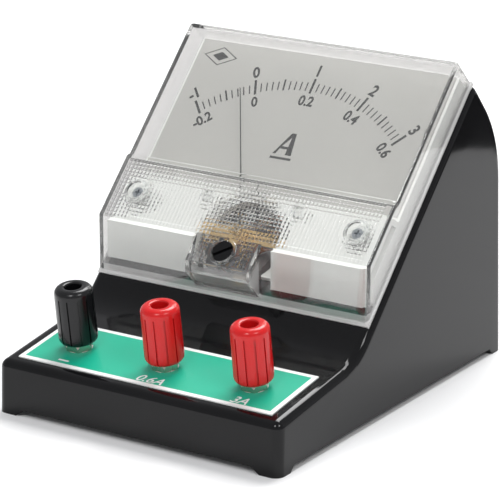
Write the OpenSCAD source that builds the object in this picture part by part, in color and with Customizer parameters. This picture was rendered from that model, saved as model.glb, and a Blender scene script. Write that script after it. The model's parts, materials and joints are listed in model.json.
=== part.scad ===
// Bench DC ammeter with a moving-coil galvanometer movement, for school use.
// X is to the right, Y to the back, Z up. All sizes are in millimetres.
// The origin is under the middle of the case, on the table.

/* [Case] */
// Width of the case
case_w = 100; // [90:1:120]
// Depth of the case, front to back
case_d = 132.4; // [128:0.2:160]
// Height of the deck at its front edge
deck_front_h = 16.3; // [15:0.1:19]
// Tilt of the terminal deck
deck_tilt = 8.3; // [6:0.1:10]
// Tilt of the face that carries the dial
face_tilt = 45.5; // [44:0.1:48]
// Wall thickness of the case
case_wall = 2.5; // [2.2:0.1:3]
// Rounding of the outside edges of the case
edge_r = 3; // [2.4:0.1:3.2]
// Radius of the hollow between deck and face
sweep_r = 20; // [12:1:24]
// Radius of the rounded back
back_r = 40; // [30:1:44]
// Slope of the case behind the cover
back_tilt = 48; // [46:0.5:52]
// Height of the four feet
foot_h = 2.1; // [1.2:0.1:2.2]

/* [Cover] */
// Length of the clear cover along the face
cover_len = 85.9; // [84:0.1:92]
// Height of the clear window above the face
cover_h = 12.2; // [12.2:0.1:15]
// Wall thickness of the clear cover
cover_wall = 1.6; // [1.4:0.1:2]
// Length of the patterned strip that screens the movement
strip_len = 22.9; // [20:0.1:26]
// Height that the strip stands above the window
strip_rise = 1; // [0.6:0.1:1.2]
// Half width of the bay that holds the zero screw
bay_hw = 11.5; // [9:0.5:13]
// Diameter of the zero screw's head
zero_d = 7; // [6:0.1:7.6]

/* [Dial and pointer] */
// Distance from the pivot to the tip of the pointer
pointer_len = 55.5; // [48:0.5:57]
// Angle of the pointer at rest, from the middle of the dial
pointer_rest = -25; // [-40:0.5:40]
// Angle from the middle of the dial to each stop
stop_angle = 45; // [40:1:48]
// Thickness of the dial plate
dial_t = 0.5; // [0.4:0.1:0.8]

/* [Movement] */
// Radius of the fixed magnet core
core_r = 8.6; // [8:0.1:9]
// Height of the fixed magnet core
core_h = 13; // [11:0.5:14]
// Width of the coil along its turning direction
coil_w = 6.4; // [4:0.2:6.6]
// Inside radius of the soft iron ring
ring_ri = 11.2; // [11.1:0.1:11.8]
// Outside radius of the soft iron ring
ring_ro = 13.4; // [13:0.1:13.5]

/* [Terminals] */
// Distance between neighbouring terminals
post_pitch = 31.2; // [28:0.1:36]
// Diameter of a terminal cap
cap_d = 11.9; // [10.8:0.1:13.8]
// Height of a terminal cap
cap_h = 18.2; // [15:0.1:20]
// Diameter of a threaded terminal stud
stud_d = 6; // [5.6:0.1:6.4]
// Diameter of the socket in the stud, for a 4 mm plug
socket_d = 4.04; // [3.9:0.02:4.2]
// Number of grooves around a cap
grooves = 12; // [10:1:20]

/* [Hidden] */
$fn = 48;
thread_gap = 0.05;
front_draft = 2;
rear_draft = 3.1;
// the face: origin at the foot of the cover
foot_y = -case_d / 2 + 50.3;
foot_z = deck_front_h + 14.2;
seat = 1.2;
cover_w = case_w - 2.5;
// height of the patterned strip, and where the upright front of the cover meets it
strip_h = cover_h + strip_rise;
bend_s = strip_h * tan(face_tilt);
strip_end = bend_s + strip_len;
pivot_s = 17.3;
zero_s = pivot_s - 8.3;
bay_s = zero_s - zero_d / 2 - 1.4;
inner_h = cover_h - cover_wall;
strip_in = strip_h - cover_wall;
// the movement
dial_h = 5;
dial_s0 = 34.5;
dial_s1 = cover_len - cover_wall - 0.3;
dial_hw = cover_w / 2 - cover_wall - 1.2;
plate_hw = dial_hw - 0.9;
carrier_h = dial_h - dial_t;
shoulder_h = 9;
shoulder_t = 1.6;
hole_r = 13.9;
bay_gap = bay_hw + cover_wall + 0.9;
core_top = 0.6;
core_bot = core_top - core_h;
former_x = core_r + 0.5;
former_t = 0.3;
wind_t = 0.8;
coil_top = core_top + 0.7;
coil_bot = core_bot - 0.7;
coil_end_t = former_t + wind_t;
ptr_h = 6.8;
bridge_h = 8.3;
lever_r = 9.5;
zero_e = lever_r - 8.3;
screw_x = cover_w / 2 - 9.25;
screw_s = 24;
dscrew = [16.2, 10.5];
// the terminals
post_y = -case_d / 2 + 16.6;
post_z = deck_front_h + (post_y + case_d / 2) * tan(deck_tilt);
label_t = 0.4;
collar_h = 1.8;
collar_r = stud_d / 2 + 1.35;
press_t = 0.5;
cap_z = label_t + collar_h + press_t;
lock_t = 0.4;
stud_top = cap_z + cap_h - 8;
stud_bot = -9.4;
boss = [case_w / 2 - 5.8, case_d / 2 - 5.9];
plate_z = foot_h + 0.5;
plate_t = 2;

// ---- places -------------------------------------------------------------

// the tilted face: x right, y up the face, z out of it
module face() {
  translate([0, foot_y, foot_z])
    rotate([face_tilt, 0, 0])
      children();
}

module pivot() {
  face()
    translate([0, pivot_s, 0])
      children();
}

// everything that turns with the pointer
module turning() {
  pivot()
    rotate([0, 0, -pointer_rest])
      children();
}

// the terminal deck at terminal number i
module deck(i = 1) {
  translate([(i - 1) * post_pitch, post_y, post_z])
    rotate([deck_tilt, 0, 0])
      children();
}

// a side outline given as [y, z], drawn out along x
module along_x(w) {
  rotate([90, 0, 90])
    translate([0, 0, -w / 2])
      linear_extrude(w)
        children();
}

module tube(ro, ri, h) {
  difference() {
    cylinder(r = ro, h = h);
    translate([0, 0, -1])
      cylinder(r = ri, h = h + 2);
  }
}

// a round wire through a list of points
module wire(pts, r) {
  for (i = [0 : len(pts) - 2]) {
    a = pts[i];
    d = pts[i + 1] - a;
    l = norm(d);
    translate(a)
      rotate([0, acos(d[2] / l), atan2(d[1], d[0])])
        cylinder(r = r, h = l, $fn = 16);
    if (i > 0)
      translate(a)
        sphere(r = r * 1.08, $fn = 16);
  }
}

// ---- outline of the case, moved inwards by i ------------------------------

function cut(p, a, q, b) =
  let (t = ((q[0] - p[0]) * sin(b) - (q[1] - p[1]) * cos(b)) / sin(b - a))
  [p[0] + t * cos(a), p[1] + t * sin(a)];

// an arc of radius r that rounds the corner b between a and c
function bend(a, b, c, r, n) =
  let (u = (a - b) / norm(a - b), v = (c - b) / norm(c - b))
  let (h = acos(u * v) / 2, w = (u + v) / norm(u + v))
  let (m = b + w * r / sin(h), s = b + u * r / tan(h), f = b + v * r / tan(h))
  let (a0 = atan2(s[1] - m[1], s[0] - m[0]), a1 = atan2(f[1] - m[1], f[0] - m[0]))
  let (d = a1 - a0, dd = d > 180 ? d - 360 : d < -180 ? d + 360 : d)
  [for (k = [0 : n]) m + r * [cos(a0 + dd * k / n), sin(a0 + dd * k / n)]];

function outline(i, n = 20) =
  let (a = face_tilt, t = deck_tilt, fd = 90 - front_draft, rd = 90 + rear_draft)
  let (pf = [-case_d / 2, 0] + i * [cos(front_draft), -sin(front_draft)])
  let (pd = [-case_d / 2, deck_front_h] + i * [sin(t), -cos(t)])
  let (ps = [foot_y, foot_z] + i * [sin(a), -cos(a)])
  let (bt = back_tilt, pb = [foot_y, foot_z] + (cover_len + 0.2) * [cos(a), sin(a)] - i * [sin(bt), cos(bt)])
  let (pr = [case_d / 2, 0] - i * [cos(rear_draft), sin(rear_draft)])
  let (c0 = cut(pf, fd, [0, -10], 0), c1 = cut(pf, fd, pd, t), c2 = cut(pd, t, ps, a))
  let (c3 = cut(ps, a, pb, -bt), c4 = cut(pb, -bt, pr, rd), c5 = cut(pr, rd, [0, -10], 0))
  concat([c0, c1], bend(c1, c2, c3, sweep_r + i, n), [c3], bend(c3, c4, c5, back_r - i, n), [c5]);

// ---- case -----------------------------------------------------------------

module case_body() {
  minkowski() {
    along_x(case_w - 2 * edge_r)
      polygon(outline(edge_r, 14));
    sphere(r = edge_r, $fn = 24);
  }
}

module case_shell() {
  color("#141416")
    difference() {
      union() {
        difference() {
          case_body();
          along_x(case_w - 2 * case_wall)
            polygon(outline(case_wall));
        }
        // bosses for the base screws, in the four corners
        for (x = [-1, 1])
          for (y = [-1, 1])
            translate([x * boss[0], y * boss[1], plate_z + plate_t])
              cylinder(r = 3.5, h = y < 0 ? deck_front_h - plate_z - plate_t - 1.6 : 24);
      }
      // flat underside
      translate([-case_w, -case_d, -50])
        cube([2 * case_w, 2 * case_d, 50]);
      // raised lower edges between the feet
      along_x(2 * case_w)
        polygon([
          [-case_d / 2 + 5.4, -1],
          [-case_d / 2 + 8.2, foot_h],
          [case_d / 2 - 8.2, foot_h],
          [case_d / 2 - 5.4, -1]
        ]);
      rotate([90, 0, 0])
        translate([0, 0, -case_d])
          linear_extrude(2 * case_d)
            polygon([
              [-case_w / 2 + 5.4, -1],
              [-case_w / 2 + 9.6, foot_h],
              [case_w / 2 - 9.6, foot_h],
              [case_w / 2 - 5.4, -1]
            ]);
      // seat of the clear cover
      face()
        translate([-cover_w / 2 - 0.1, -0.1, -seat])
          cube([cover_w + 0.2, cover_len + 0.2, 30]);
      // window for the movement
      face()
        translate([-38, 7, -10])
          cube([76, cover_len - 14, 20]);
      face()
        translate([-ring_ro - 2, pivot_s - ring_ro - 1.9, -10])
          cube([2 * ring_ro + 4, 12, 20]);
      // holes of the terminals
      for (i = [0 : 2])
        deck(i)
          translate([0, 0, -10])
            cylinder(r = stud_d / 2, h = 20);
      // holes of the base screws
      for (x = [-1, 1])
        for (y = [-1, 1])
          translate([x * boss[0], y * boss[1], plate_z])
            cylinder(r = 1.3, h = 10);
      // holes of the cover screws
      for (x = [-1, 1])
        face()
          translate([x * screw_x, screw_s, -12])
            cylinder(r = 1.2, h = 14);
    }
}

module base_plate() {
  color("#1b1b1d")
    difference() {
      translate([-case_w / 2 + case_wall + 0.3, -case_d / 2 + case_wall + 0.5, plate_z])
        cube([case_w - 2 * case_wall - 0.6, case_d - 2 * case_wall - 1, plate_t]);
      for (x = [-1, 1])
        for (y = [-1, 1])
          translate([x * boss[0], y * boss[1], 0])
            cylinder(r = 1.7, h = 10);
      // vents and pull-out slots
      for (x = [-2 : 2])
        translate([x * 12 - 2.5, 20, 0])
          cube([5, 22, 10]);
    }
}

module base_screws() {
  color("#b9bcc0")
    for (x = [-1, 1])
      for (y = [-1, 1])
        translate([x * boss[0], y * boss[1], plate_z])
          difference() {
            union() {
              cylinder(r = 1.3, h = 9.4);
              translate([0, 0, -1.6])
                cylinder(r = 2.8, h = 1.6);
            }
            for (a = [0, 90])
              rotate([0, 0, a])
                translate([-1.7, -0.3, -2])
                  cube([3.4, 0.6, 1.2]);
          }
}

// ---- terminals --------------------------------------------------------------

module terminal_label() {
  color("#1fae85")
    deck(1)
      difference() {
        translate([-case_w / 2 + 5.15, -12.4, 0])
          cube([case_w - 10.3, 25.4, label_t]);
        for (i = [-1 : 1])
          translate([i * post_pitch, 0, -1])
            cylinder(r = stud_d / 2, h = 3);
      }
}

module terminal_studs() {
  color("#c8c4b4")
    for (i = [0 : 2])
      deck(i)
        difference() {
          translate([0, 0, stud_bot])
            cylinder(d = stud_d, h = stud_top - stud_bot);
          translate([0, 0, 1.4])
            cylinder(d = socket_d, h = stud_top);
          translate([0, 0, stud_top - 0.4])
            cylinder(d1 = socket_d, d2 = socket_d + 0.9, h = 0.41);
        }
}

module terminal_washers() {
  color("#c9cac8")
    for (i = [0 : 2])
      deck(i)
        translate([0, 0, -case_wall - lock_t])
          tube(4.8, stud_d / 2, lock_t);
}

module terminal_collars() {
  color("#c4c4c0")
    for (i = [0 : 2])
      deck(i)
        translate([0, 0, label_t])
          difference() {
            intersection() {
              cylinder(r = collar_r, h = collar_h, $fn = 6);
              cylinder(r1 = collar_r + 0.5, r2 = collar_r - 0.3, h = collar_h);
            }
            translate([0, 0, -1])
              cylinder(d = stud_d, h = 5);
            // wire hole
            rotate([0, 90, 30])
              translate([-collar_h / 2, 0, 0])
                cylinder(r = 0.55, h = 8);
          }
}

module press_washer(i) {
  color("#d0d0cc")
    deck(i)
      translate([0, 0, cap_z - press_t])
        tube(stud_d / 2 + 1, stud_d / 2 + thread_gap, press_t - 0.05);
}

module press_washer_common() {
  press_washer(0);
}

module press_washer_low() {
  press_washer(1);
}

module press_washer_high() {
  press_washer(2);
}

// a fluted cap that screws down its stud
module cap(i) {
  r = cap_d / 2;
  hr = cap_h - 1.4;
  deck(i)
    translate([0, 0, cap_z])
      difference() {
        rotate_extrude()
          polygon(concat(
            [[0, 0], [r - 1.1, 0], [r - 0.55, 0.3], [r - 0.1, 1], [r, 1.8], [r - 0.12, cap_h - 2.2]],
            [for (k = [1 : 8]) [r - 2.12 + 2 * cos(k * 10.5), cap_h - 2.2 + 2 * sin(k * 10.5)]],
            [[3.1, cap_h - 0.2], [2.8, cap_h - 0.35], [2.65, cap_h - 0.7], [0, cap_h - 0.7]]
          ));
        // flutes
        for (k = [0 : grooves - 1])
          rotate([0, 0, (k + 0.5) * 360 / grooves])
            translate([r - 0.6, -0.25, 0.8])
              cube([2, 0.5, cap_h - 3.8]);
        // plug hole, and the threaded hole for the stud
        translate([0, 0, 5])
          cylinder(r = 2.6, h = cap_h);
        translate([0, 0, -1])
          cylinder(r = stud_d / 2 + thread_gap, h = cap_h - 8 + 1.8);
      }
}

module cap_common() {
  color("#17181a")
    cap(0);
}

module cap_low() {
  color("#c8141c")
    cap(1);
}

module cap_high() {
  color("#c8141c")
    cap(2);
}

module solder_tags() {
  color("#cbb98a")
    for (i = [0 : 2])
      deck(i)
        translate([0, 0, -case_wall - lock_t - 0.5])
          difference() {
            union() {
              cylinder(r = 4.8, h = 0.5);
              translate([-1.5, 0, 0])
                cube([3, 9, 0.5]);
            }
            translate([0, 0, -1])
              cylinder(d = stud_d, h = 3);
            translate([0, 7.4, -1])
              cylinder(r = 0.7, h = 3);
          }
}

// hexagon nuts on the studs, under the deck
module stud_nuts() {
  color("#c4c4c0")
    for (i = [0 : 2])
      deck(i)
        for (z = [-case_wall - lock_t - 0.5 - 2.2, stud_bot + 0.3])
          translate([0, 0, z])
            difference() {
              cylinder(r = 5, h = 2.2, $fn = 6);
              translate([0, 0, -1])
                cylinder(d = stud_d, h = 5);
            }
}

// shunt strip from the common terminal to the high range, around the middle one
module shunt_high() {
  z0 = -case_wall - lock_t - 2.7;
  color("#a9825a")
    deck(1)
      translate([0, 0, z0 - 0.5])
        difference() {
          union() {
            for (x = [-1, 1])
              translate([x * post_pitch - 2.5, -9, 0])
                cube([5, 9, 0.5]);
            translate([-post_pitch - 2.5, -10.5, 0])
              cube([2 * post_pitch + 5, 4, 0.5]);
            for (x = [-1, 1])
              translate([x * post_pitch, 0, 0])
                cylinder(r = 4.8, h = 0.5);
          }
          for (x = [-1, 1])
            translate([x * post_pitch, 0, -1])
              cylinder(d = stud_d, h = 3);
        }
}

// shunt strip between the two ranges, folded back and forth
module shunt_low() {
  z0 = -case_wall - lock_t - 3.2;
  n = 5;
  p = (post_pitch - 14) / n;
  color("#a9825a")
    deck(1)
      translate([0, 0, z0 - 0.5])
        difference() {
          union() {
            for (x = [0, post_pitch])
              translate([x, 0, 0])
                cylinder(r = 4.8, h = 0.5);
            for (k = [0 : n]) {
              translate([7 + k * p - 0.7, -3.5, 0])
                cube([1.4, 7, 0.5]);
              if (k < n)
                translate([7 + k * p - 0.7, k % 2 == 0 ? 2.1 : -3.5, 0])
                  cube([p + 1.4, 1.4, 0.5]);
            }
            translate([4, -3.5, 0])
              cube([3, 2, 0.5]);
            translate([post_pitch - 7, 1.5, 0])
              cube([3, 2, 0.5]);
          }
          for (x = [0, post_pitch])
            translate([x, 0, -1])
              cylinder(d = stud_d, h = 3);
        }
}

// rings that level the shunts on their studs
module shunt_washers() {
  color("#c9cac8") {
    deck(1)
      translate([0, 0, -case_wall - lock_t - 3.2])
        tube(4.2, stud_d / 2, 0.5);
    deck(0)
      translate([0, 0, -case_wall - lock_t - 3.7])
        tube(4.2, stud_d / 2, 0.5);
  }
}

// ---- clear cover ------------------------------------------------------------

// side outline of the cover on the face, moved inwards by i, h0 high at the window
function cover_side(i, top, s1, low) =
  [
    [low * tan(face_tilt) + i / cos(face_tilt), low],
    [top * tan(face_tilt) + i / cos(face_tilt), top],
    [s1, top],
    [s1, low]
  ];

// a block with rounded outer edges: the hull of balls at its corners
module soft_block(pts, hw, r) {
  hull()
    for (p = pts)
      for (x = [-1, 1])
        translate([x * (hw - r), p[0], p[1]])
          sphere(r = r, $fn = 20);
}

module clear_cover() {
  r = 1.4;
  hw = cover_w / 2;
  t = tan(face_tilt);
  c = cos(face_tilt);
  bay_top = strip_h;
  color([0.9, 0.93, 0.93, 0.3])
    difference() {
      union() {
        face()
          difference() {
            union() {
              soft_block([
                [(-6) * t + r / c, -6],
                [(cover_h - r) * t + r / c, cover_h - r],
                [cover_len - r, cover_h - r],
                [cover_len - r, -6]
              ], hw, r);
              soft_block([
                [(-6) * t + r / c, -6],
                [(strip_h - r) * t + r / c, strip_h - r],
                [strip_end - r, strip_h - r],
                [strip_end - r, -6]
              ], hw, r);
              // lower edge of the walls, straight down into the seat
              translate([-hw, 0, -seat])
                cube([2 * hw, cover_len, seat + 0.3]);
            }
            translate([-100, -50, -50 - seat])
              cube([200, 200, 50]);
            translate([-100, -50, -30])
              cube([200, 50, 60 + 0]);
          }
        // the bay under the zero screw
        bay_block(0, bay_hw);
        // raised ring around the zero screw
        face()
          translate([0, zero_s, strip_h - 1])
            cylinder(r1 = zero_d / 2 + 1.15, r2 = zero_d / 2 + 0.85, h = 1.9);
      }
      // hollow of the cover
      difference() {
        union() {
          face()
            rotate([90, 0, 90])
              translate([0, 0, -hw + cover_wall])
                linear_extrude(2 * (hw - cover_wall))
                  polygon(cover_side(cover_wall, inner_h, cover_len - cover_wall, -8));
          face()
            rotate([90, 0, 90])
              translate([0, 0, -hw + cover_wall])
                linear_extrude(2 * (hw - cover_wall))
                  polygon(cover_side(cover_wall, strip_in, strip_end - cover_wall, -8));
          bay_block(cover_wall, bay_hw - cover_wall);
        }
        // posts for the cover screws
        face()
          for (x = [-1, 1])
            translate([x * screw_x, screw_s, shoulder_h])
              cylinder(r = 4.2, h = 6);
      }
      // wells and holes of the cover screws
      face()
        for (x = [-1, 1])
          translate([x * screw_x, screw_s, 0]) {
            translate([0, 0, shoulder_h + 1.2])
              cylinder(r = 3, h = 10);
            cylinder(r = 1.3, h = 20);
          }
      // hole and counterbore of the zero screw
      face()
        translate([0, zero_s, 0]) {
          cylinder(r = 2.26, h = 30);
          translate([0, 0, strip_h - 1])
            cylinder(r = zero_d / 2 + 0.06, h = 10);
        }
    }
}

// the bay: i is the wall to take off, hw its half width
module bay_block(i, hw) {
  yf = foot_y + bay_s * cos(face_tilt) - strip_h * sin(face_tilt);
  zf = foot_z + bay_s * sin(face_tilt) + strip_h * cos(face_tilt);
  k = i / cos(face_tilt);
  along_x(2 * hw)
    polygon([
      [yf + i, zf - k + i * tan(face_tilt)],
      [yf + i, zf - 3.6 + i * 0.4],
      [foot_y - 0.4 + i * 0.6, foot_z + 2.2 + i * 0.8],
      [foot_y + 3, foot_z + 2.2 + i * 0.8],
      [foot_y + 3, zf + (foot_y + 3 - yf) * tan(face_tilt) - k]
    ]);
}

// two pan head screws down the wells
module cover_screws() {
  color("#b9bcc0")
    for (x = [-1, 1])
      face()
        translate([x * screw_x, screw_s, shoulder_h + 1.2])
          difference() {
            union() {
              cylinder(r = 1.8, h = 1.1);
              translate([0, 0, -13.5])
                cylinder(r = 1.2, h = 14);
            }
            for (a = [0, 90])
              rotate([0, 0, a])
                translate([-1.1, -0.24, 0.4])
                  cube([2.2, 0.48, 2]);
          }
}

// slotted zero screw, with the off-centre pin that swings the zero lever
module zero_adjuster() {
  top = strip_h + 0.6;
  color("#101012")
    face()
      translate([0, zero_s, 0])
        difference() {
          union() {
            translate([0, 0, strip_h - 1])
              cylinder(d = zero_d, h = 1.6);
            translate([0, 0, strip_in - 1])
              cylinder(r = 2.2, h = cover_wall + 0.5);
            translate([0, 0, strip_in - 0.9])
              cylinder(r = 2.9, h = 0.85);
            translate([0, -zero_e, bridge_h - 0.1])
              cylinder(r = 0.5, h = strip_in - bridge_h);
          }
          rotate([0, 0, 35])
            translate([-5, -0.5, top - 0.8])
              cube([10, 1, 2]);
        }
}

// ---- dial -------------------------------------------------------------------

module dial_carrier() {
  w = dial_hw;
  t = tan(face_tilt);
  c = cos(face_tilt);
  g = cover_wall + 0.5;
  k = 1.6;
  color("#eceeea")
    difference() {
      union() {
        // the plate under the dial
        face()
          translate([-w, 7.6, carrier_h - 2])
            cube([2 * w, dial_s1 - 7.6, 2]);
        // side and top walls, down to the seat
        face()
          for (x = [-w, w - k])
            translate([x, 7.6, -seat])
              cube([k, dial_s1 - 7.6, carrier_h + seat - 0.5]);
        face()
          translate([-w, dial_s1 - k, -seat])
            cube([2 * w, k, carrier_h + seat - 0.5]);
        // upright skirt behind the front of the cover
        for (x = [-1, 1])
          translate([x > 0 ? bay_gap : -w, foot_y + g, foot_z + 5.2])
            cube([w - bay_gap, k, 11.9]);
        // shoulders at each side of the movement
        for (x = [-1, 1])
          face()
            translate([x > 0 ? 20 : -w, 0, 0])
              rotate([90, 0, 90])
                linear_extrude(w - 20)
                  polygon([
                    [shoulder_h * t + (g + 0.2) / c, shoulder_h],
                    [32, shoulder_h],
                    [33.5, carrier_h - 1],
                    [31.5, carrier_h - 1],
                    [30.6, shoulder_h - shoulder_t],
                    [shoulder_h * t + 1, shoulder_h - shoulder_t]
                  ]);
        // bridge between them, over the root of the pointer
        face()
          translate([-21, 0, 0])
            rotate([90, 0, 90])
              linear_extrude(42)
                polygon([
                  [shoulder_h * t + (g + 0.2) / c, shoulder_h],
                  [32, shoulder_h],
                  [32.2, shoulder_h - shoulder_t],
                  [shoulder_h * t + 1, shoulder_h - shoulder_t]
                ]);
        // posts for the cover screws
        for (x = [-1, 1])
          face()
            translate([x * screw_x, screw_s, -seat])
              cylinder(r = 4, h = shoulder_h + seat);
      }
      // opening over the movement
      pivot()
        translate([0, 0, -5])
          cylinder(r = hole_r, h = 20);
      face()
        translate([-bay_gap, 0, shoulder_h - shoulder_t - 1])
          cube([2 * bay_gap, pivot_s, 10]);
      // driver holes above the frame screws
      for (x = [-1, 1])
        pivot()
          translate([x * dscrew[0], dscrew[1], carrier_h + 0.5])
            cylinder(r = 2.2, h = 10);
      // screw holes
      for (x = [-1, 1])
        face()
          translate([x * screw_x, screw_s, -5])
            cylinder(r = 1.3, h = 20);
      for (x = [-1, 1])
        pivot()
          translate([x * dscrew[0], dscrew[1], -5])
            cylinder(r = 1, h = 12);
      // keep clear of the inside of the cover
      translate([-100, foot_y - 20, 0])
        cube([200, 20 + g, 100]);
    }
}

module dial_plate() {
  color("#c4c6c0")
    face()
      translate([-plate_hw, dial_s0, carrier_h])
        cube([2 * plate_hw, dial_s1 - dial_s0, dial_t]);
}

// small screws that hold the movement frame under the carrier
module frame_screws() {
  color("#8f9094")
    for (x = [-1, 1])
      pivot()
        translate([x * dscrew[0], dscrew[1], 0]) {
          translate([0, 0, carrier_h])
            difference() {
              cylinder(r = 1.8, h = 1);
              translate([-2, -0.25, 0.5])
                cube([4, 0.5, 1]);
            }
          translate([0, 0, -1.5])
            cylinder(r = 1, h = carrier_h + 1.6);
        }
}

// upright pins that stop the pointer at each end
module pointer_stops() {
  r = 17.2;
  color("#77787a")
    pivot()
      for (x = [-1, 1])
        rotate([0, 0, x * (stop_angle + 3.4)])
          translate([0, r, carrier_h])
            cylinder(r = 0.45, h = shoulder_h - shoulder_t - carrier_h - 0.2);
}

// ---- movement: fixed pieces ---------------------------------------------------

module movement_frame() {
  color("#1d1d1f")
    pivot()
      difference() {
        union() {
          translate([0, 0, core_bot - 4.4])
            cylinder(r = ring_ro + 1.3, h = core_top - core_bot + 3.6);
          for (x = [-1, 1])
            rotate([0, 0, x > 0 ? 33 : 147])
              translate([0, -3, 0])
                cube([22, 6, 2.3]);
          for (x = [-1, 1])
            rotate([0, 0, x > 0 ? 33 : 147])
              translate([ring_ro - 1, -3, -2])
                cube([2.2, 6, 3]);
        }
        translate([0, 0, core_bot - 2.9])
          cylinder(r = ring_ro, h = 40);
        translate([0, 0, core_bot - 10])
          cylinder(r = 4.6, h = 40);
        for (x = [-1, 1])
          translate([x * dscrew[0], dscrew[1], -5])
            cylinder(r = 1, h = 12);
        for (x = [-1, 1])
          cylinder_at(x * 6.2, 0, core_bot - 6, 0.9, 3);
      }
}

module yoke_ring() {
  color("#5c5e62")
    pivot()
      translate([0, 0, core_bot + 0.4])
        tube(ring_ro, ring_ri, core_h - 1.2);
}

module core_magnet() {
  color("#74767a")
    pivot()
      translate([0, 0, core_bot])
        cylinder(r = core_r, h = core_h);
}

// non-magnetic blocks in the gap that carry the core, clear of the coil's swing
module core_supports() {
  color("#b59a58")
    pivot()
      for (y = [-1, 1])
        translate([0, 0, core_bot + 1])
          intersection() {
            tube(ring_ri, core_r, core_h - 2.6);
            translate([-2.2, y > 0 ? 0 : -20, -1])
              cube([4.4, 20, 30]);
          }
}

module upper_bridge() {
  color("#9b9da1")
    pivot()
      difference() {
        union() {
          translate([-13.2, -1.9, bridge_h])
            cube([26.4, 3.8, 0.9]);
          cylinder_at(0, 0, bridge_h, 2.9, 0.9);
          for (x = [-1, 1])
            translate([x * 12.3, 0, core_top - 0.8])
              cylinder(r = 1.05, h = bridge_h - core_top + 0.9);
        }
        cylinder_at(0, 0, bridge_h - 1, 1.5, 4);
      }
}

module cylinder_at(x, y, z, r, h) {
  translate([x, y, z])
    cylinder(r = r, h = h);
}

module lower_bridge() {
  color("#9b9da1")
    pivot()
      difference() {
        translate([0, 0, core_bot - 5.9])
          cylinder(r = 8, h = 1.5);
        cylinder_at(0, 0, core_bot - 7, 1.5, 4);
        for (x = [-1, 1])
          cylinder_at(x * 6.2, 0, core_bot - 7, 0.9, 4);
      }
}

module bridge_screws() {
  color("#c9cac8")
    pivot()
      for (x = [-1, 1])
        translate([x * 6.2, 0, core_bot - 5.9]) {
          cylinder(r = 0.9, h = 2.4);
          translate([0, 0, -0.9])
            difference() {
              cylinder(r = 1.5, h = 0.9);
              translate([-2, -0.2, -1])
                cube([4, 0.4, 1.4]);
            }
        }
}

module upper_jewel_screw() {
  color("#c6a85c")
    pivot()
      difference() {
        translate([0, 0, bridge_h - 0.15])
          cylinder(r = 1.5, h = 2.35);
        translate([0, 0, bridge_h - 1])
          cylinder(r = 0.45, h = 1.7);
        translate([-2, -0.22, bridge_h + 1.7])
          cube([4, 0.44, 2]);
      }
}

module lower_jewel_screw() {
  color("#c6a85c")
    pivot()
      difference() {
        translate([0, 0, core_bot - 6.7])
          cylinder(r = 1.5, h = 2.9);
        translate([0, 0, core_bot - 5.4])
          cylinder(r = 0.45, h = 4);
      }
}

// ---- movement: turning pieces -------------------------------------------------

// the zero lever: a collar on the bridge with a fork that holds the screw's pin
module zero_lever() {
  z = bridge_h + 0.95;
  color("#b7b9bc")
    pivot()
      difference() {
        union() {
          translate([0, 0, z])
            cylinder(r = 2.9, h = 0.5);
          translate([-1.5, -lever_r - 1.7, z])
            cube([3, lever_r + 1.7, 0.5]);
        }
        translate([0, 0, z - 1])
          cylinder(r = 1.56, h = 3);
        translate([-0.75, -lever_r - 3, z - 1])
          cube([1.5, 4.4, 3]);
      }
}

function spiral(r0, r1, turns, n) =
  [for (k = [0 : n]) let (a = 360 * turns * k / n, r = r0 + (r1 - r0) * k / n) r * [cos(a), sin(a)]];

// a flat spiral hairspring
module hairspring(z) {
  t = 0.09;
  a = spiral(1 - t, 3.4 - t, 3, 72);
  b = spiral(1 + t, 3.4 + t, 3, 72);
  pivot()
    translate([0, 0, z])
      linear_extrude(0.5)
        polygon(concat(a, [for (k = [72 : -1 : 0]) b[k]]));
}

module upper_hairspring() {
  color("#b08a4a")
    hairspring(ptr_h + 0.6);
}

module lower_hairspring() {
  color("#b08a4a")
    hairspring(core_bot - 3.4);
}

module coil_loop(x, zb, zt, t, w) {
  difference() {
    translate([-x - t, -w / 2, zb - t])
      cube([2 * (x + t), w, zt - zb + 2 * t]);
    translate([-x, -w, zb])
      cube([2 * x, 2 * w, zt - zb]);
  }
}

// light aluminium frame that the coil is wound on
module coil_former() {
  color("#c3c6c9")
    turning()
      coil_loop(former_x, coil_bot, coil_top, former_t, coil_w);
}

module coil_winding() {
  color("#b5713c")
    turning()
      coil_loop(former_x + former_t, coil_bot - former_t, coil_top + former_t, wind_t, coil_w - 0.6);
}

// hardened pivots on bosses, at both ends of the coil
module pivot_staffs() {
  zt = coil_top + coil_end_t;
  zb = coil_bot - coil_end_t;
  color("#d6d8da")
    turning() {
      cylinder_at(0, 0, zt, 1.5, 0.9);
      cylinder_at(0, 0, zt, 0.8, 2.9);
      cylinder_at(0, 0, zt, 0.3, bridge_h + 0.4 - zt);
      cylinder_at(0, 0, zb - 0.6, 1.5, 0.6);
      cylinder_at(0, 0, zb - 1.8, 0.8, 1.3);
      cylinder_at(0, 0, core_bot - 5.2, 0.3, 5.2 + coil_bot - core_bot - coil_end_t);
    }
}

// needle pointer with its balance cross
module pointer() {
  zt = coil_top + coil_end_t;
  color("#1a1a1c")
    turning()
      difference() {
        union() {
          translate([0, 0, zt + 0.9])
            cylinder(r = 1.7, h = ptr_h - zt - 0.55);
          translate([0, 0, ptr_h - 0.2])
            linear_extrude(0.35)
              polygon([
                [-0.5, 1],
                [-0.3, 12],
                [-0.11, pointer_len / 2],
                [-0.09, pointer_len],
                [0.09, pointer_len],
                [0.11, pointer_len / 2],
                [0.3, 12],
                [0.5, 1]
              ]);
          translate([0, 0, ptr_h - 0.2])
            for (a = [90, 180, 270])
              rotate([0, 0, a])
                translate([-0.35, 0, 0])
                  cube([0.7, 6.4, 0.35]);
        }
        translate([0, 0, zt - 1])
          cylinder(r = 0.8, h = 10);
      }
}

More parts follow.
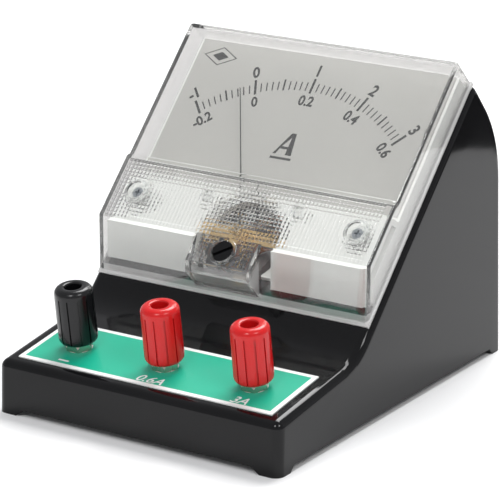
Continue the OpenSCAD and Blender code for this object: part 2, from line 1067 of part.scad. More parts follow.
// small threaded weights on the balance cross
module balance_weights() {
  color("#c2a55a")
    turning()
      for (a = [90, 180, 270])
        rotate([0, 0, a])
          translate([0, a == 180 ? 5.9 : 5.2, ptr_h])
            rotate([90, 0, 0])
              difference() {
                cylinder(r = 0.8, h = 1.4);
                translate([-0.35, -0.2, -1])
                  cube([0.7, 0.35, 4]);
              }
}

// ---- inside wiring --------------------------------------------------------------

// points on the face and on the deck, as places in the whole object
function on_face(x, s, h) = [
  x,
  foot_y + s * cos(face_tilt) - h * sin(face_tilt),
  foot_z + s * sin(face_tilt) + h * cos(face_tilt)
];

function on_deck(x, y, z) = [
  x,
  post_y + y * cos(deck_tilt) - z * sin(deck_tilt),
  post_z + y * sin(deck_tilt) + z * cos(deck_tilt)
];

// a lead from the solder tag at x0 to the lower bridge at x1
function lead(x0, x1) =
  let (z = -case_wall - lock_t - 0.5, h = core_bot - 5.9)
  [
    on_deck(x0, 7.4, z),
    on_deck(x0, 7.4, z - 3),
    on_deck(x0 * 0.8 + x1 * 0.2, 16, z - 6),
    on_deck(x0 * 0.5 + x1 * 0.5, 30, z - 4),
    on_face(x1, pivot_s - 4, h - 8),
    on_face(x1, pivot_s - 1.5, h - 4),
    on_face(x1, pivot_s - 1.5, h)
  ];

module lead_black() {
  color("#141414")
    wire(lead(-post_pitch, -4.5), 0.7);
}

module lead_red() {
  color("#a3181c")
    wire(lead(0, 4.5), 0.7);
}

// ---- list of pieces ---------------------------------------------------------------

case_shell();
base_plate();
base_screws();
terminal_label();
terminal_studs();
terminal_washers();
terminal_collars();
press_washer_common();
press_washer_low();
press_washer_high();
cap_common();
cap_low();
cap_high();
solder_tags();
stud_nuts();
shunt_high();
shunt_low();
shunt_washers();
clear_cover();
cover_screws();
zero_adjuster();
dial_carrier();
dial_plate();
frame_screws();
pointer_stops();
movement_frame();
yoke_ring();
core_magnet();
core_supports();
upper_bridge();
lower_bridge();
bridge_screws();
upper_jewel_screw();
lower_jewel_screw();
zero_lever();
upper_hairspring();
lower_hairspring();
coil_former();
coil_winding();
pivot_staffs();
pointer();
balance_weights();
lead_black();
lead_red();
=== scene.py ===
# %% [markdown]
# # A school bench ammeter with a moving-coil movement
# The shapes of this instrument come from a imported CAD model. This lesson loads them, gives
# every piece the finish of its real material, and adds what CAD leaves out: the printing on
# the dial and on the label, and the small blunt pyramids moulded into the clear cover.

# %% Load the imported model
import math
import bpy
import bmesh
from mathutils import Matrix, Vector
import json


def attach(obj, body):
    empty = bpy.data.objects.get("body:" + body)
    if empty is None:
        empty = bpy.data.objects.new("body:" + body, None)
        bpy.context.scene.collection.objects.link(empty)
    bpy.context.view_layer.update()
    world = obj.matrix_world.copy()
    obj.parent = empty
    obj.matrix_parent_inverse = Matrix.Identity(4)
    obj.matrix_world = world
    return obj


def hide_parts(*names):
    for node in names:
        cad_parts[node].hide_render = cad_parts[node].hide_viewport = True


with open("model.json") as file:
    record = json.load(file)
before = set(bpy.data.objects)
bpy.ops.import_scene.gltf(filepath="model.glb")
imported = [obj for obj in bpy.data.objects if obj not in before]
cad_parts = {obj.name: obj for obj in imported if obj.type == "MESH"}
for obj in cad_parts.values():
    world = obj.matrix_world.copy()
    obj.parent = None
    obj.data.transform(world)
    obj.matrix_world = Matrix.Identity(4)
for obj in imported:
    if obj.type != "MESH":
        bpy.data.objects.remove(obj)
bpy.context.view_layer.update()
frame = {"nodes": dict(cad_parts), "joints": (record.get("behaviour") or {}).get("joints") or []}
nodes = frame["nodes"]
scene = bpy.context.scene
MM = 0.001

# %% [markdown]
# ## Two tilted planes
# The dial lies on a slope and the terminals stand on a deck of another slope. The model's own
# joints know both: the pointer turns about a line square to the dial, and each cap lifts along
# its stud. So each plane gets a matrix that turns "right, up the plane, out of it" into places
# in the room, and nothing has to be measured by eye.

# %% Planes of the dial and of the deck
joints = {j["name"]: j for j in frame["joints"]}


def plane(point, out):
    """The matrix of a plane that passes through point and faces along out, with X to the right."""
    out = Vector(out).normalized()
    right = Vector((1, 0, 0))
    m = Matrix((right, out.cross(right), out)).transposed().to_4x4()
    m.translation = Vector(point)
    return m


swing = joints["pointer_swing"]
DIAL = plane(swing["pos_m"], [-a for a in swing["axis"]])
DECK = plane(joints["cap_low_lift"]["pos_m"], joints["cap_low_lift"]["axis"])
PITCH = joints["cap_high_lift"]["pos_m"][0] - joints["cap_low_lift"]["pos_m"][0]


def extent(name, place):
    """The lowest and highest corner of a CAD node, measured along a plane's own directions."""
    back = place.inverted()
    points = [back @ v.co for v in nodes[name].data.vertices]
    return [Vector([f(p[k] for p in points) for k in range(3)]) for f in (min, max)]


print("dial plane through", [round(v / MM, 1) for v in DIAL.translation])
print("terminal pitch", round(PITCH / MM, 1), "mm")

# %% [markdown]
# ## Nodes of a material
# A material is a small graph. Writing it out link by link takes many lines, so one function
# adds any node, sets its options and fills or links its sockets.

# %% One way to add a node, and colours as designers write them
def add(tree, kind, sockets=(), **settings):
    """Adds a node. sockets gives a number, a colour or another node's output for each input."""
    node = tree.nodes.new("ShaderNode" + kind)
    for name, value in settings.items():
        setattr(node, name, value)
    for name, value in dict(sockets).items():
        if isinstance(value, bpy.types.NodeSocket):
            tree.links.new(value, node.inputs[name])
        else:
            node.inputs[name].default_value = value
    return node


def linear(code):
    """A colour such as #c8cac4, which is in sRGB, as the linear numbers that shaders use."""
    parts = [int(code[i : i + 2], 16) / 255 for i in (1, 3, 5)]
    return [p / 12.92 if p <= 0.04045 else ((p + 0.055) / 1.055) ** 2.4 for p in parts] + [1.0]


CLOUDS = 45.0  # noise cells in a metre, so a cloud is some 22 mm wide


def surface(name, dark, light, grain_mm, gloss, bump_mm=0.0, stretch=(1, 1, 1), **sockets):
    """A Principled surface. Its colour drifts from dark to light, and its roughness between the
    two numbers of gloss, over broad clouds. Grains of grain_mm raise it by bump_mm, and stretch
    draws them out along an axis."""
    material = bpy.data.materials.new(name)
    material.use_nodes = True
    tree = material.node_tree
    shader = tree.nodes["Principled BSDF"]
    for socket, value in sockets.items():
        shader.inputs[socket.replace("_", " ")].default_value = value
    here = add(tree, "TexCoord").outputs["Object"]
    drawn = add(tree, "Mapping", {"Vector": here, "Scale": stretch}).outputs["Vector"]
    scale = 1 / (grain_mm * MM)
    fine = add(tree, "TexNoise", {"Vector": drawn, "Scale": scale, "Detail": 3.0}).outputs["Fac"]
    broad = add(tree, "TexNoise", {"Vector": here, "Scale": CLOUDS, "Detail": 2.0}).outputs["Fac"]
    tone = add(tree, "Mix", {0: broad, 6: linear(dark), 7: linear(light)}, data_type="RGBA")
    rough = add(tree, "MapRange", {"Value": broad, "From Min": 0.3, "From Max": 0.7,
                                   "To Min": gloss[0], "To Max": gloss[1]})
    tree.links.new(tone.outputs[2], shader.inputs["Base Color"])
    tree.links.new(rough.outputs["Result"], shader.inputs["Roughness"])
    if bump_mm:
        relief = add(tree, "Bump", {"Height": fine, "Distance": bump_mm * MM, "Strength": 1.0})
        tree.links.new(relief.outputs["Normal"], shader.inputs["Normal"])
    return material


def dress(material, *names):
    """Gives CAD nodes their finish, and lets light run smoothly over their faces."""
    for name in names:
        thing = nodes[name]
        thing.data.materials.clear()
        thing.data.materials.append(material)
        soften(thing)
    print(material.name, "on", ", ".join(names))


def soften(thing, angle=32):
    """Smooth shading that stays crisp at real edges: weld, part at sharp edges, weigh by area."""
    for face in thing.data.polygons:
        face.use_smooth = True
    weld = thing.modifiers.new("weld", "WELD")
    weld.merge_threshold = 0.001 * MM
    part = thing.modifiers.new("sharp edges", "EDGE_SPLIT")
    part.split_angle = math.radians(angle)
    even = thing.modifiers.new("flat faces", "WEIGHTED_NORMAL")
    even.keep_sharp = True


print("white paper in linear numbers:", [round(v, 2) for v in linear("#f5f5f3")])

# %% [markdown]
# ## Black mouldings
# The case is ABS, injection moulded in a polished steel tool. The plastic itself is almost
# black, and what the eye sees is the room mirrored in it, a little unsteady because the skin
# has sunk by microns over the ribs behind it. The base plate and the frame of the movement
# come from a spark-eroded tool, which leaves a fine even grain instead.

# %% Gloss and grained ABS
gloss_abs = surface("gloss_abs_black", "#0b0b0c", "#101012", 3.0, (0.05, 0.1), 0.004,
                    IOR=1.54, Specular_IOR_Level=0.22)
grained_abs = surface("spark_grained_abs", "#121214", "#1a1a1c", 0.3, (0.42, 0.55), 0.02, IOR=1.54)
dress(gloss_abs, "case_shell", "zero_adjuster")
dress(grained_abs, "base_plate", "movement_frame")

# %% [markdown]
# ## Terminal caps
# The caps are turned by hand a thousand times, so they are moulded from tough nylon with
# polished skins, with pigment all through. Touch leaves them a little duller in some places
# than in others, which the drifting roughness stands for.

# %% Red and black caps
red_nylon = surface("moulded_nylon_red", "#bd1417", "#cf1b1c", 1.2, (0.16, 0.26), 0.004, IOR=1.53,
                    Specular_IOR_Level=0.35)
black_nylon = surface("moulded_nylon_black", "#0e0e10", "#151517", 1.2, (0.16, 0.26), 0.004, IOR=1.53,
                      Specular_IOR_Level=0.35)
dress(red_nylon, "cap_low", "cap_high")
dress(black_nylon, "cap_common")

# %% [markdown]
# ## Plated and bare metals
# Every metal here is small, but each was made in its own way. Plating is bright with a slight
# haze. Rolled strip keeps straight lines along the rolling, so its grains are stretched; the
# bridges over the coil are brass strip, which gives the movement its tan middle. Turned parts
# keep finer grains. A metal's colour is its reflection, so metallic is 1.

# %% Plated and turned metals
nickel = surface("bright_nickel_plate", "#b9b6a9", "#cfccc0", 0.5, (0.16, 0.3), 0.003, Metallic=1.0)
zinc = surface("zinc_plate_passivated", "#a6abb0", "#c0c4c6", 0.4, (0.26, 0.4), 0.004, Metallic=1.0)
tinned = surface("hot_tinned_brass", "#b8ab83", "#cfc7ab", 0.8, (0.25, 0.4), 0.01, Metallic=1.0)
brass = surface("turned_brass", "#b8913f", "#d0ab5c", 0.3, (0.2, 0.32), 0.004, Metallic=1.0)
steel = surface("hardened_polished_steel", "#b4b7ba", "#c8cbce", 0.3, (0.1, 0.18), 0.001, Metallic=1.0)
dress(nickel, "terminal_studs", "terminal_washers", "terminal_collars", "press_washer_common",
      "press_washer_low", "press_washer_high", "stud_nuts", "shunt_washers")
dress(zinc, "base_screws", "cover_screws", "frame_screws", "bridge_screws")
dress(tinned, "solder_tags")
dress(brass, "core_supports", "upper_jewel_screw", "lower_jewel_screw", "balance_weights")
dress(steel, "pivot_staffs", "pointer_stops")

# %% [markdown]
# ## Rolled and magnetic metals
# Strip and sheet leave the mill with fine lines in one direction. A stretch below 1 along an
# axis makes the grains longer there. The iron ring is blued against rust, and the magnet core
# is ground, because its alloy is too hard to turn.

# %% Rolled strip, iron and magnet
manganin = surface("rolled_manganin", "#96683f", "#b07c50", 0.5, (0.3, 0.42), 0.006, (0.05, 1, 1),
                   Metallic=1.0)
iron = surface("blued_soft_iron", "#2f3136", "#44464c", 0.4, (0.38, 0.5), 0.008, Metallic=1.0)
alnico = surface("ground_magnet_alloy", "#7d7f82", "#93959a", 0.25, (0.32, 0.45), 0.01, (1, 0.08, 0.08),
                 Metallic=1.0)
aluminium = surface("rolled_aluminium", "#a9abae", "#bfc1c4", 0.4, (0.28, 0.4), 0.006, (0.06, 1, 1),
                    Metallic=1.0)
sheet_brass = surface("rolled_brass_sheet", "#d6b06a", "#e6c88c", 0.4, (0.4, 0.52), 0.006, (0.06, 1, 1),
                      Metallic=1.0)
bronze = surface("phosphor_bronze_ribbon", "#9c6a34", "#b98448", 0.3, (0.2, 0.3), 0.002, Metallic=1.0)
dress(manganin, "shunt_high", "shunt_low")
dress(iron, "yoke_ring")
dress(alnico, "core_magnet")
dress(sheet_brass, "upper_bridge", "lower_bridge", "zero_lever")
dress(aluminium, "coil_former")
dress(bronze, "upper_hairspring", "lower_hairspring")

# %% [markdown]
# ## Lacquer, insulation and white plastic
# The pointer is thin sheet with black lacquer, and the leads are PVC over copper. The carrier
# behind the window is white ABS with a satin skin; it fills the instrument with light.

# %% Other plain finishes
lacquer = surface("black_lacquer", "#0c0c0d", "#131315", 0.2, (0.35, 0.5), 0.002)
pvc_black = surface("pvc_insulation_black", "#111113", "#1b1b1e", 0.5, (0.35, 0.5), 0.01, IOR=1.53)
pvc_red = surface("pvc_insulation_red", "#8e1216", "#a5181c", 0.5, (0.35, 0.5), 0.01, IOR=1.53)
satin_white = surface("satin_abs_white", "#eff0ed", "#f5f6f3", 0.6, (0.38, 0.5), 0.006, IOR=1.54)
dress(lacquer, "pointer")
dress(pvc_black, "lead_black")
dress(pvc_red, "lead_red")
dress(satin_white, "dial_carrier")

# %% [markdown]
# ## The winding
# Some hundred turns of enamelled copper lie side by side across the coil. The real wire is
# 0.08 mm thick, too fine to show, so the turns are drawn at 0.3 mm. They cross the coil's
# width, which is the direction of the pointer, so a dot product with that direction counts
# them, and a sine makes round backs of the count.

# %% Enamelled copper
TURN = 0.3 * MM
TURN_HEIGHT = 0.05 * MM
points = [DIAL.inverted() @ v.co for v in nodes["pointer"].data.vertices]
tip = max(points, key=lambda p: p.length)
along_pointer = (DIAL.to_3x3() @ Vector((tip.x, tip.y, 0))).normalized()
copper = surface("enamelled_copper_wire", "#8e4a20", "#b0652e", 0.3, (0.22, 0.34), Metallic=1.0)
tree = copper.node_tree
shader = tree.nodes["Principled BSDF"]
here = add(tree, "TexCoord").outputs["Object"]
count = add(tree, "VectorMath", {0: here, 1: along_pointer}, operation="DOT_PRODUCT").outputs["Value"]
phase = add(tree, "Math", {0: count, 1: 2 * math.pi / TURN}, operation="MULTIPLY").outputs[0]
backs = add(tree, "Math", {0: phase}, operation="SINE").outputs[0]
turns = add(tree, "Bump", {"Height": backs, "Distance": TURN_HEIGHT, "Strength": 1.0})
tree.links.new(turns.outputs["Normal"], shader.inputs["Normal"])
dress(copper, "coil_winding")
print("pointer at", round(math.degrees(math.atan2(tip.x, tip.y)), 1), "degrees")

# %% [markdown]
# ## Printing
# Ink is a thin layer with clean edges. A flat 2D curve does this well: it takes any number of
# outlines, fills them, leaves the inner ones open, and extrudes the result.

# %% Outlines to ink
INK = 0.03  # thickness of the ink, in mm


def stencil(outlines, thick=INK):
    """A mesh of filled outlines in mm, thick mm high. An outline inside another is a hole."""
    curve = bpy.data.curves.new("stencil", "CURVE")
    curve.dimensions, curve.fill_mode, curve.extrude = "2D", "BOTH", thick / 2 * MM
    for points in outlines:
        line = curve.splines.new("POLY")
        line.points.add(len(points) - 1)
        for spot, (x, y) in zip(line.points, points):
            spot.co = (x * MM, y * MM, 0, 1)
        line.use_cyclic_u = True
    return flat_mesh(curve, thick)


def flat_mesh(curve, thick):
    """Turns a curve or text into a mesh that stands on the plane z = 0."""
    thing = bpy.data.objects.new(curve.name, curve)
    scene.collection.objects.link(thing)
    mesh = bpy.data.meshes.new_from_object(thing.evaluated_get(bpy.context.evaluated_depsgraph_get()))
    bpy.data.objects.remove(thing)
    mesh.transform(Matrix.Translation((0, 0, thick / 2 * MM)))
    return mesh


def stroke(a, b, width):
    """The outline of a straight bar from a to b."""
    a, b = Vector(a), Vector(b)
    side = (b - a).orthogonal().normalized() * width / 2
    return [tuple(p) for p in (a - side, b - side, b + side, a + side)]


print("a bar:", stroke((0, 0), (0, 4), 0.5))

# %% [markdown]
# Letters come from Blender's own plain font. Its offset makes them bolder. They are measured
# and scaled afterwards, so that a height in mm holds for every character, and made narrower,
# because instrument makers use a condensed face.

# %% Letters
RAW = 0.01  # half the thickness of letters before they are scaled


def letters(text, height, narrow, bold=0.0, slant=0.0):
    """Characters of a height in mm, centred on the origin."""
    curve = bpy.data.curves.new("letters", "FONT")
    curve.body, curve.shear, curve.offset, curve.extrude = text, slant, bold, RAW
    mesh = flat_mesh(curve, 0)
    spans = [(min(v.co[k] for v in mesh.vertices), max(v.co[k] for v in mesh.vertices))
             for k in (0, 1)]
    middle = Vector([(a + b) / 2 for a, b in spans] + [-RAW])
    size = height * MM / (spans[1][1] - spans[1][0])
    grow = Matrix.Diagonal((size * narrow, size, INK * MM / (2 * RAW), 1))
    mesh.transform(grow @ Matrix.Translation(-middle))
    return mesh


sample = letters("8", 4, 1)
print("an 8 is", round(max(v.co.y for v in sample.vertices) * 2 / MM, 2), "mm tall")
bpy.data.meshes.remove(sample)

# %% [markdown]
# Every shape of one print is joined into one piece, laid on its plane and told which body it
# rides on, so that it follows that body at every pose.

# %% Lay ink on a plane
SAME = 0.0005  # points nearer than this, in mm, are one


def settle(name, meshes, place, material, body):
    """Joins meshes, lays them on a plane and makes them a piece that rides on a body."""
    build = bmesh.new()
    for mesh in meshes:
        build.from_mesh(mesh)
        bpy.data.meshes.remove(mesh)
    bmesh.ops.remove_doubles(build, verts=build.verts, dist=SAME * MM)
    bmesh.ops.transform(build, matrix=place, verts=build.verts)
    bmesh.ops.recalc_face_normals(build, faces=build.faces)
    mesh = bpy.data.meshes.new(name)
    build.to_mesh(mesh)
    build.free()
    thing = bpy.data.objects.new(name, mesh)
    scene.collection.objects.link(thing)
    mesh.materials.append(material)
    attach(thing, body)
    print(name, "has", len(mesh.polygons), "faces")
    return thing


print("ink is", INK, "mm thick")

# %% [markdown]
# ## The dial
# The plate is aluminium sheet with a pale grey lacquer, sprayed and baked, so it is matt with
# hardly any texture. The scale is screen printed. It runs from -1 to 3 in steps of a tenth,
# about the pointer's own axis, so each mark's angle is a plain sum.

# %% Dial plate and scale
STEP = 20.45  # degrees between whole numbers
SINK = 0.1 * INK * MM  # ink starts a little inside what it is printed on
dial_grey = surface("baked_grey_lacquer", "#b9b8b4", "#bebdb9", 0.4, (0.5, 0.6), 0.003)
ink_black = surface("screen_ink_black", "#1b1b1d", "#232325", 0.3, (0.45, 0.55), 0.003)
dress(dial_grey, "dial_plate")
dial_high = extent("dial_plate", DIAL)[1]
ON_DIAL = DIAL @ Matrix.Translation((0, 0, dial_high.z - SINK))


def polar(radius, angle):
    """A point of the dial, at an angle to the right of its middle."""
    turn = math.radians(angle)
    return Vector((radius * math.sin(turn), radius * math.cos(turn)))


# inner radius, outer radius and width of the marks for every number, half and tenth
WHOLE, HALF, TENTH = (53.0, 58.4, 0.8), (53.5, 57.5, 0.58), (53.7, 56.8, 0.4)
ticks = []
for tenth in range(41):
    angle = (tenth / 10 - 2) * STEP
    inner, outer, width = WHOLE if tenth % 10 == 0 else HALF if tenth % 5 == 0 else TENTH
    ticks.append(stroke(polar(inner, angle), polar(outer, angle), width))
settle("dial_scale_marks", [stencil(ticks)], ON_DIAL, ink_black, "meter")

# %% [markdown]
# Two rows of numbers belong to the two ranges: the outer row counts to 3 and the inner one to
# 0.6, a fifth of it. Each number is turned so that it stands upright on its own mark.

# %% Dial numbers
OUTER_ROW, INNER_ROW = (61.3, 4.1), (50.3, 3.7)  # radius and height
NARROW, BOLD = 0.88, 0.03
numbers = []
for k in range(5):
    rows = ((f"{k - 1}", *OUTER_ROW), (f"{(k - 1) / 5:g}", *INNER_ROW))
    for text, radius, height in rows:
        angle = (k - 2) * STEP
        mesh = letters(text, height, NARROW, BOLD)
        spot = polar(radius, angle) * MM
        mesh.transform(Matrix.Translation((*spot, 0)) @ Matrix.Rotation(-math.radians(angle), 4, "Z"))
        numbers.append(mesh)
settle("dial_numbers", numbers, ON_DIAL, ink_black, "meter")

# %% [markdown]
# The letter for amperes has one thin and one thick leg, and the line under it says that the
# meter is for direct current. Its outline and its inner triangle are two outlines of one
# stencil. A plain lozenge fills the corner where makers put their own mark.

# %% Unit letter and corner mark
letter = [(-3.55, 30.7), (-2.55, 30.7), (-1.75, 32.7), (0.95, 32.7), (0.95, 30.7), (3.1, 30.7),
          (1.95, 38.5), (0.35, 38.5)]
window = [(-1.3, 33.6), (0.95, 33.6), (0.95, 37.0)]
line = stroke((-3.9, 29.4), (3.6, 29.4), 0.8)
shapes = [stencil([letter, window, line])]
settle("dial_unit_letter", shapes, ON_DIAL, ink_black, "meter")


def lozenge(x, y, wide, high):
    """The outline of a diamond shape."""
    return [(x - wide / 2, y), (x, y - high / 2), (x + wide / 2, y), (x, y + high / 2)]


CORNER = (-36.6, 61.2)
mark = [lozenge(*CORNER, *size) for size in ((12.4, 6.8), (11.2, 6.1), (6.0, 3.3))]
settle("dial_corner_mark", [stencil(mark)], ON_DIAL, ink_black, "meter")

# %% [markdown]
# ## The terminal label
# The label is white vinyl with a green field printed on it. The field stops short of the edge,
# which leaves a white line all round, and it has round openings for the three studs. White
# marks on the green name the terminals.

# %% Label
vinyl = surface("white_vinyl", "#e9ebe8", "#f1f2f0", 0.5, (0.3, 0.4), 0.004, IOR=1.53)
green_ink = surface("screen_ink_green", "#10a685", "#15b190", 0.5, (0.26, 0.36), 0.004, IOR=1.5)
white_ink = surface("screen_ink_white", "#eceeec", "#f4f5f3", 0.3, (0.3, 0.4), 0.002)
dress(vinyl, "terminal_label")
label_low, label_high = (v / MM for v in extent("terminal_label", DECK))
EDGE, STUD_GAP = 1.5, 4.0  # width of the white line, radius of the openings
ON_LABEL = DECK @ Matrix.Translation((0, 0, label_high.z * MM - SINK))
left, right = label_low.x + EDGE, label_high.x - EDGE
front, rear = label_low.y + EDGE, label_high.y - EDGE
outlines = [[(left, front), (right, front), (right, rear), (left, rear)]]
for k in (-1, 0, 1):
    ring = [polar(STUD_GAP, a) for a in range(0, 360, 10)]
    outlines.append([(p.x + k * PITCH / MM, p.y) for p in ring])
settle("label_green_field", [stencil(outlines)], ON_LABEL, green_ink, "meter")

# %% [markdown]
# The common terminal gets a minus sign, and each red one the current of its range, in slanted
# letters. This ink is a second layer, so it starts on top of the green.

# %% Marks on the label
ROW, TALL, SLANT = -8.9, 3.6, 0.25
marks = [stencil([stroke((-32.3, -9.2), (-28.6, -9.2), 0.75)])]
for text, x in (("0.6A", 0.9), ("3A", 32.0)):
    mesh = letters(text, TALL, 1.0, 0.01, SLANT)
    mesh.transform(Matrix.Translation((x * MM, ROW * MM, 0)))
    marks.append(mesh)
ON_GREEN = ON_LABEL @ Matrix.Translation((0, 0, INK * MM - SINK))
settle("label_terminal_marks", marks, ON_GREEN, white_ink, "meter")

# %% [markdown]
# ## The clear cover
# The window is polystyrene, moulded in one piece: it is thick enough to bend what lies behind
# its edges, and it has an index of refraction of 1.59. Its foot, and the inside of the box
# around the zero screw, came from tool faces that were never polished, so less light passes
# there. Heights above the dial's plane and places along Y tell the shader where.

# %% Clear polystyrene
FOOT_CLARITY, WINDOW_CLARITY, SATIN_LOSS = 0.35, 0.97, 0.3
# where haze starts to fade and where it is gone: above the dial's plane for the foot and the
# box, and in front of the carrier for the box
FOOT_TOP, BOX_TOP = (0.9 * MM, 1.2 * MM), (10.8 * MM, 11.4 * MM)
BOX_BACK = (3.4 * MM, 2.8 * MM)
clear = bpy.data.materials.new("clear_polystyrene")
clear.use_nodes = True
tree = clear.node_tree
shader, output = tree.nodes["Principled BSDF"], tree.nodes["Material Output"]
plain = {"Base Color": linear("#dfdedd"), "IOR": 1.59, "Specular IOR Level": 0.4}
for socket, value in plain.items():
    shader.inputs[socket].default_value = value
here = add(tree, "TexCoord").outputs["Object"]
out = DIAL.to_3x3().col[2]
rise = add(tree, "VectorMath", {0: here, 1: out}, operation="DOT_PRODUCT").outputs["Value"]
level = out.dot(DIAL.translation)


def ramp(value, start, end, first, last):
    """A socket that goes from first to last as value goes from start to end."""
    sockets = {"Value": value, "From Min": start, "From Max": end, "To Min": first, "To Max": last}
    return add(tree, "MapRange", sockets).outputs["Result"]


clarity = ramp(rise, level + FOOT_TOP[0], level + FOOT_TOP[1], FOOT_CLARITY, WINDOW_CLARITY)
# the box stands in front of the carrier, and its top is polished like the window
forward = add(tree, "SeparateXYZ", {0: here}).outputs["Y"]
carrier_front = min(v.co.y for v in nodes["dial_carrier"].data.vertices)
before = ramp(forward, carrier_front - BOX_BACK[0], carrier_front - BOX_BACK[1], 1.0, 0.0)
under = ramp(rise, level + BOX_TOP[0], level + BOX_TOP[1], 1.0, 0.0)
satin = add(tree, "Math", {0: before, 1: under}, operation="MULTIPLY").outputs[0]
kept = add(tree, "Math", {0: satin, 1: -SATIN_LOSS, 2: 1.0}, operation="MULTIPLY_ADD").outputs[0]
clearness = add(tree, "Math", {0: clarity, 1: kept}, operation="MULTIPLY").outputs[0]
tree.links.new(clearness, shader.inputs["Transmission Weight"])
print("dial plane at", round(level / MM, 1), "mm, carrier front at", round(carrier_front / MM, 1), "mm")

# %% [markdown]
# A perfect window has no roughness at all, but handling leaves faint clouds on it. Lamps are
# small here, and their light would be lost in a refracting shell, so for shadow rays only the
# window counts as a pale filter, as it nearly is.

# %% Clouds on the window, and light through it
haze = add(tree, "TexNoise", {"Vector": here, "Scale": 60.0, "Detail": 2.0}).outputs["Fac"]
tree.links.new(ramp(haze, 0.0, 1.0, 0.0, 0.04), shader.inputs["Roughness"])
lamp = add(tree, "LightPath").outputs["Is Shadow Ray"]
through = add(tree, "BsdfTransparent", {"Color": linear("#f3f5f5")}).outputs[0]
mixed = add(tree, "MixShader", {0: lamp, 1: shader.outputs[0], 2: through}).outputs[0]
tree.links.new(mixed, output.inputs["Surface"])
print(clear.name, "has", len(tree.nodes), "nodes")

# %% [markdown]
# ## Blunt pyramids
# Over the movement the cover's tool was cut with rows of small blunt pyramids, so that the
# mechanism comes through as dots. They are real facets here, because a painted pattern could
# not bend light. First the strip and the box are found from the cover's own points.

# %% Where the patterned strip lies
RING_HEIGHT = 0.9  # of the ring around the zero screw, which is the cover's highest part
WELL_INSET = 2.5   # from the outer side of a screw's head
inside = DIAL.inverted()
points = [inside @ v.co / MM for v in nodes["clear_cover"].data.vertices]
top = max(p.z for p in points) - RING_HEIGHT
flat = [p for p in points if abs(p.z - top) < 0.02]  # corners of the flat front face
wide = max(p.x for p in flat)
rear = max(p.y for p in flat)
bend = min(p.y for p in flat if abs(p.x) > wide - 3)  # at the sides, clear of the box
bay = [p for p in flat if p.y < bend - 2]  # only the box reaches past the bend
bay_half, bay_front = max(p.x for p in bay), min(p.y for p in bay)
zero = inside @ Vector(joints["zero_screw_turn"]["pos_m"]) / MM
screws = [v / MM for v in extent("cover_screws", DIAL)]
well = Vector((screws[1].x - WELL_INSET, (screws[0].y + screws[1].y) / 2))
print("strip from", round(bend, 1), "to", round(rear, 1), "mm")
print("box to", round(bay_front, 1), "mm, half width", round(bay_half, 1), "mm")

# %% [markdown]
# A pyramid stands at every crossing of a grid that keeps clear of the ring, the wells and the
# edges. Each one is a closed shape whose foot is sunk into the cover, which a Boolean needs.

# %% Pyramids
GRID, RISE, SUNK = 1.3, 0.22, 0.2  # pitch, height and depth of the foot
BLUNT = 0.42  # the share of a pyramid's width that stays flat on top
RING_CLEAR, WELL_CLEAR, SIDE_CLEAR, BAY_CLEAR, BEND_CLEAR = 5.6, 4.2, 0.8, 1.2, 0.4
FIRST_ROW, GROOVE = 1.2, 0.04


def patterned(x, y):
    """Whether a pyramid stands at a place of the strip."""
    at_ring = math.hypot(x - zero.x, y - zero.y) < RING_CLEAR
    if at_ring or math.hypot(abs(x) - well.x, y - well.y) < WELL_CLEAR:
        return False
    if y > bend + BEND_CLEAR:
        return y < rear - SIDE_CLEAR and abs(x) < wide - SIDE_CLEAR
    return y > bay_front + BAY_CLEAR and abs(x) < bay_half - BAY_CLEAR


def pyramid(build, x, y, half):
    """A closed pyramid with a small flat top and a short foot that is sunk into the cover."""
    ring = [(x - half, y - half), (x + half, y - half), (x + half, y + half), (x - half, y + half)]
    foot = [build.verts.new((p[0], p[1], top - SUNK)) for p in ring]
    base = [build.verts.new((p[0], p[1], top + 0.01)) for p in ring]
    tips = [(x + (p[0] - x) * BLUNT, y + (p[1] - y) * BLUNT) for p in ring]
    peak = [build.verts.new((*tip, top + RISE)) for tip in tips]
    build.faces.new(foot[::-1])
    build.faces.new(peak)
    for k in range(4):
        n = (k + 1) % 4
        build.faces.new((foot[k], foot[n], base[n], base[k]))
        build.faces.new((base[k], base[n], peak[n], peak[k]))


build = bmesh.new()
columns, lines = int(wide / GRID) + 1, int((rear - bay_front) / GRID) + 1
for i in range(-columns, columns + 1):
    for j in range(lines + 1):
        x, y = i * GRID, rear - FIRST_ROW - j * GRID
        if patterned(x, y):
            pyramid(build, x, y, GRID / 2 - GROOVE)
bmesh.ops.transform(build, matrix=DIAL @ Matrix.Scale(MM, 4), verts=build.verts)
grid_mesh = bpy.data.meshes.new("pyramids")
build.to_mesh(grid_mesh)
build.free()
grid = bpy.data.objects.new("pyramids", grid_mesh)
scene.collection.objects.link(grid)
print(len(grid_mesh.polygons) // 10, "pyramids")

# %% [markdown]
# A Boolean union makes one skin of the pyramids and a copy of the CAD cover, as in the real
# moulding. The joined mesh then stands for the CAD node.

# %% Join the pyramids to the cover
body = bpy.data.objects.new("cover_body", nodes["clear_cover"].data.copy())
scene.collection.objects.link(body)
weld = body.modifiers.new("weld", "WELD")
weld.merge_threshold = 0.001 * MM
union = body.modifiers.new("join", "BOOLEAN")
union.operation, union.solver, union.object = "UNION", "EXACT", grid
mesh = bpy.data.meshes.new_from_object(body.evaluated_get(bpy.context.evaluated_depsgraph_get()))
mesh.name = "patterned_cover"
for thing in (body, grid):
    bpy.data.objects.remove(thing)
cover = bpy.data.objects.new("patterned_cover", mesh)
scene.collection.objects.link(cover)
mesh.materials.clear()
mesh.materials.append(clear)
soften(cover, 24)
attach(cover, "meter")
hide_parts("clear_cover")
print("cover has", len(mesh.polygons), "faces")

# %% [markdown]
# ## Camera
# A long lens from well above the table, turned to the right, keeps upright lines upright.

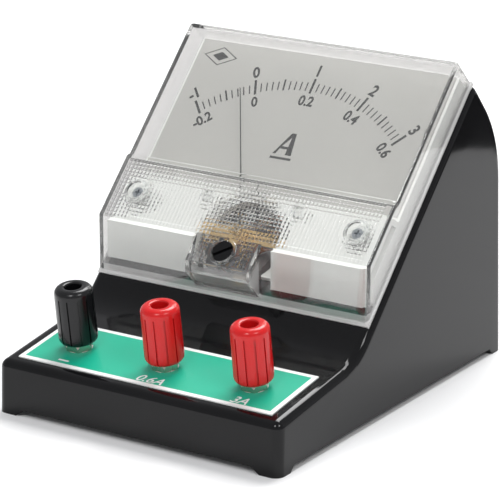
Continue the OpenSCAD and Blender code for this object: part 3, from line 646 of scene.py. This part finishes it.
# %% Camera
AZIMUTH, ELEVATION, DISTANCE = math.radians(33.069), math.radians(17.531), 0.85408
AIM = Vector((-0.00197, -0.00128, 0.0418))
toward = Vector((math.sin(AZIMUTH) * math.cos(ELEVATION), -math.cos(AZIMUTH) * math.cos(ELEVATION),
                 math.sin(ELEVATION)))
lens = bpy.data.cameras.new("camera")
lens.lens, lens.sensor_width = 201.6, 36.0
lens.clip_start, lens.clip_end = 0.05, 30.0
camera = bpy.data.objects.new("camera", lens)
scene.collection.objects.link(camera)
camera.location = AIM + toward * DISTANCE
camera.rotation_mode = "QUATERNION"
camera.rotation_quaternion = (-toward).to_track_quat("-Z", "Y")
scene.camera = camera
print("camera at", [round(v, 3) for v in camera.location])

# %% [markdown]
# ## Studio
# Gloss black plastic shows the room more than itself. A white floor gives the walls their grey.
# A dark sheet lies on it behind the meter, where only mirrors see it. It is painted shade: it stands in
# for the shade the meter casts on the floor behind it, and the upper back corner of the side wall
# reflects it and turns black, a painted dark reflection.

# %% Floor, and a sheet of painted shade
def ground(name, half, cells, material):
    """A flat square sheet around the origin."""
    build = bmesh.new()
    bmesh.ops.create_grid(build, x_segments=cells, y_segments=cells, size=half)
    mesh = bpy.data.meshes.new(name)
    build.to_mesh(mesh)
    build.free()
    thing = bpy.data.objects.new(name, mesh)
    scene.collection.objects.link(thing)
    mesh.materials.append(material)
    return thing


paper = surface("pale_paper", "#f4f4f4", "#f8f8f8", 2.0, (0.8, 0.9), 0.0, Specular_IOR_Level=0.1)
floor = ground("floor", 4.0, 24, paper)
HALF_SHEET = 0.6
NEAR_EDGE, BEHIND = Vector((0.200, 0.278)), Vector((0.52, 0.80))  # its front, and the way back
# painted shade: a black sheet that stands in for the floor's shade behind the meter and is seen only in
# reflections
painted_shade = surface("painted_floor_shade", "#050505", "#0a0a0a", 2.0, (0.9, 1.0))
sheet = ground("painted_shade_sheet", HALF_SHEET, 6, painted_shade)
sheet.location = (*(NEAR_EDGE + HALF_SHEET * BEHIND), 2 * MM)
sheet.rotation_euler.z = math.radians(-33)
sheet.visible_camera = sheet.visible_diffuse = False
sheet.visible_transmission = sheet.visible_shadow = False
print("sheet at", [round(v, 3) for v in sheet.location])

# %% [markdown]
# The room is a little darker overhead than at the horizon, which keeps the deck and the slope
# black. Two soft boxes in front light the dial and leave two small glints on every rounded
# edge; a broad one behind and above fills the floor.

# %% Sky and soft boxes
world = bpy.data.worlds.new("studio")
scene.world = world
world.use_nodes = True
tree = world.node_tree
height = add(tree, "SeparateXYZ", {0: add(tree, "TexCoord").outputs["Generated"]}).outputs["Z"]
fade = ramp(height, 0.05, 0.55, 0.6, 0.5)
fade.node.interpolation_type = "SMOOTHSTEP"
sky = tree.nodes["Background"].inputs
tree.links.new(fade, sky["Strength"])
sky["Color"].default_value = linear("#fbfcff")


def soft_box(name, azimuth, elevation, distance, size, power):
    """A square lamp that faces the object from a direction given like the camera's."""
    a, e = math.radians(azimuth), math.radians(elevation)
    away = Vector((math.sin(a) * math.cos(e), -math.cos(a) * math.cos(e), math.sin(e)))
    data = bpy.data.lights.new(name, "AREA")
    data.shape, data.size, data.energy = "SQUARE", size, power
    lamp = bpy.data.objects.new(name, data)
    scene.collection.objects.link(lamp)
    lamp.location = away * distance
    lamp.rotation_mode = "QUATERNION"
    lamp.rotation_quaternion = away.to_track_quat("Z", "Y")
    print(name, "at", [round(v, 2) for v in lamp.location])


soft_box("left_box", 8, 45, 1.5, 0.35, 4.3)
soft_box("right_box", 68, 45, 1.5, 0.35, 4.3)
soft_box("top_box", 188, 60, 1.6, 0.9, 26)
scene.view_settings.view_transform = "Standard"

# %% [markdown]
# ## Last lines

# %% One more import
import json
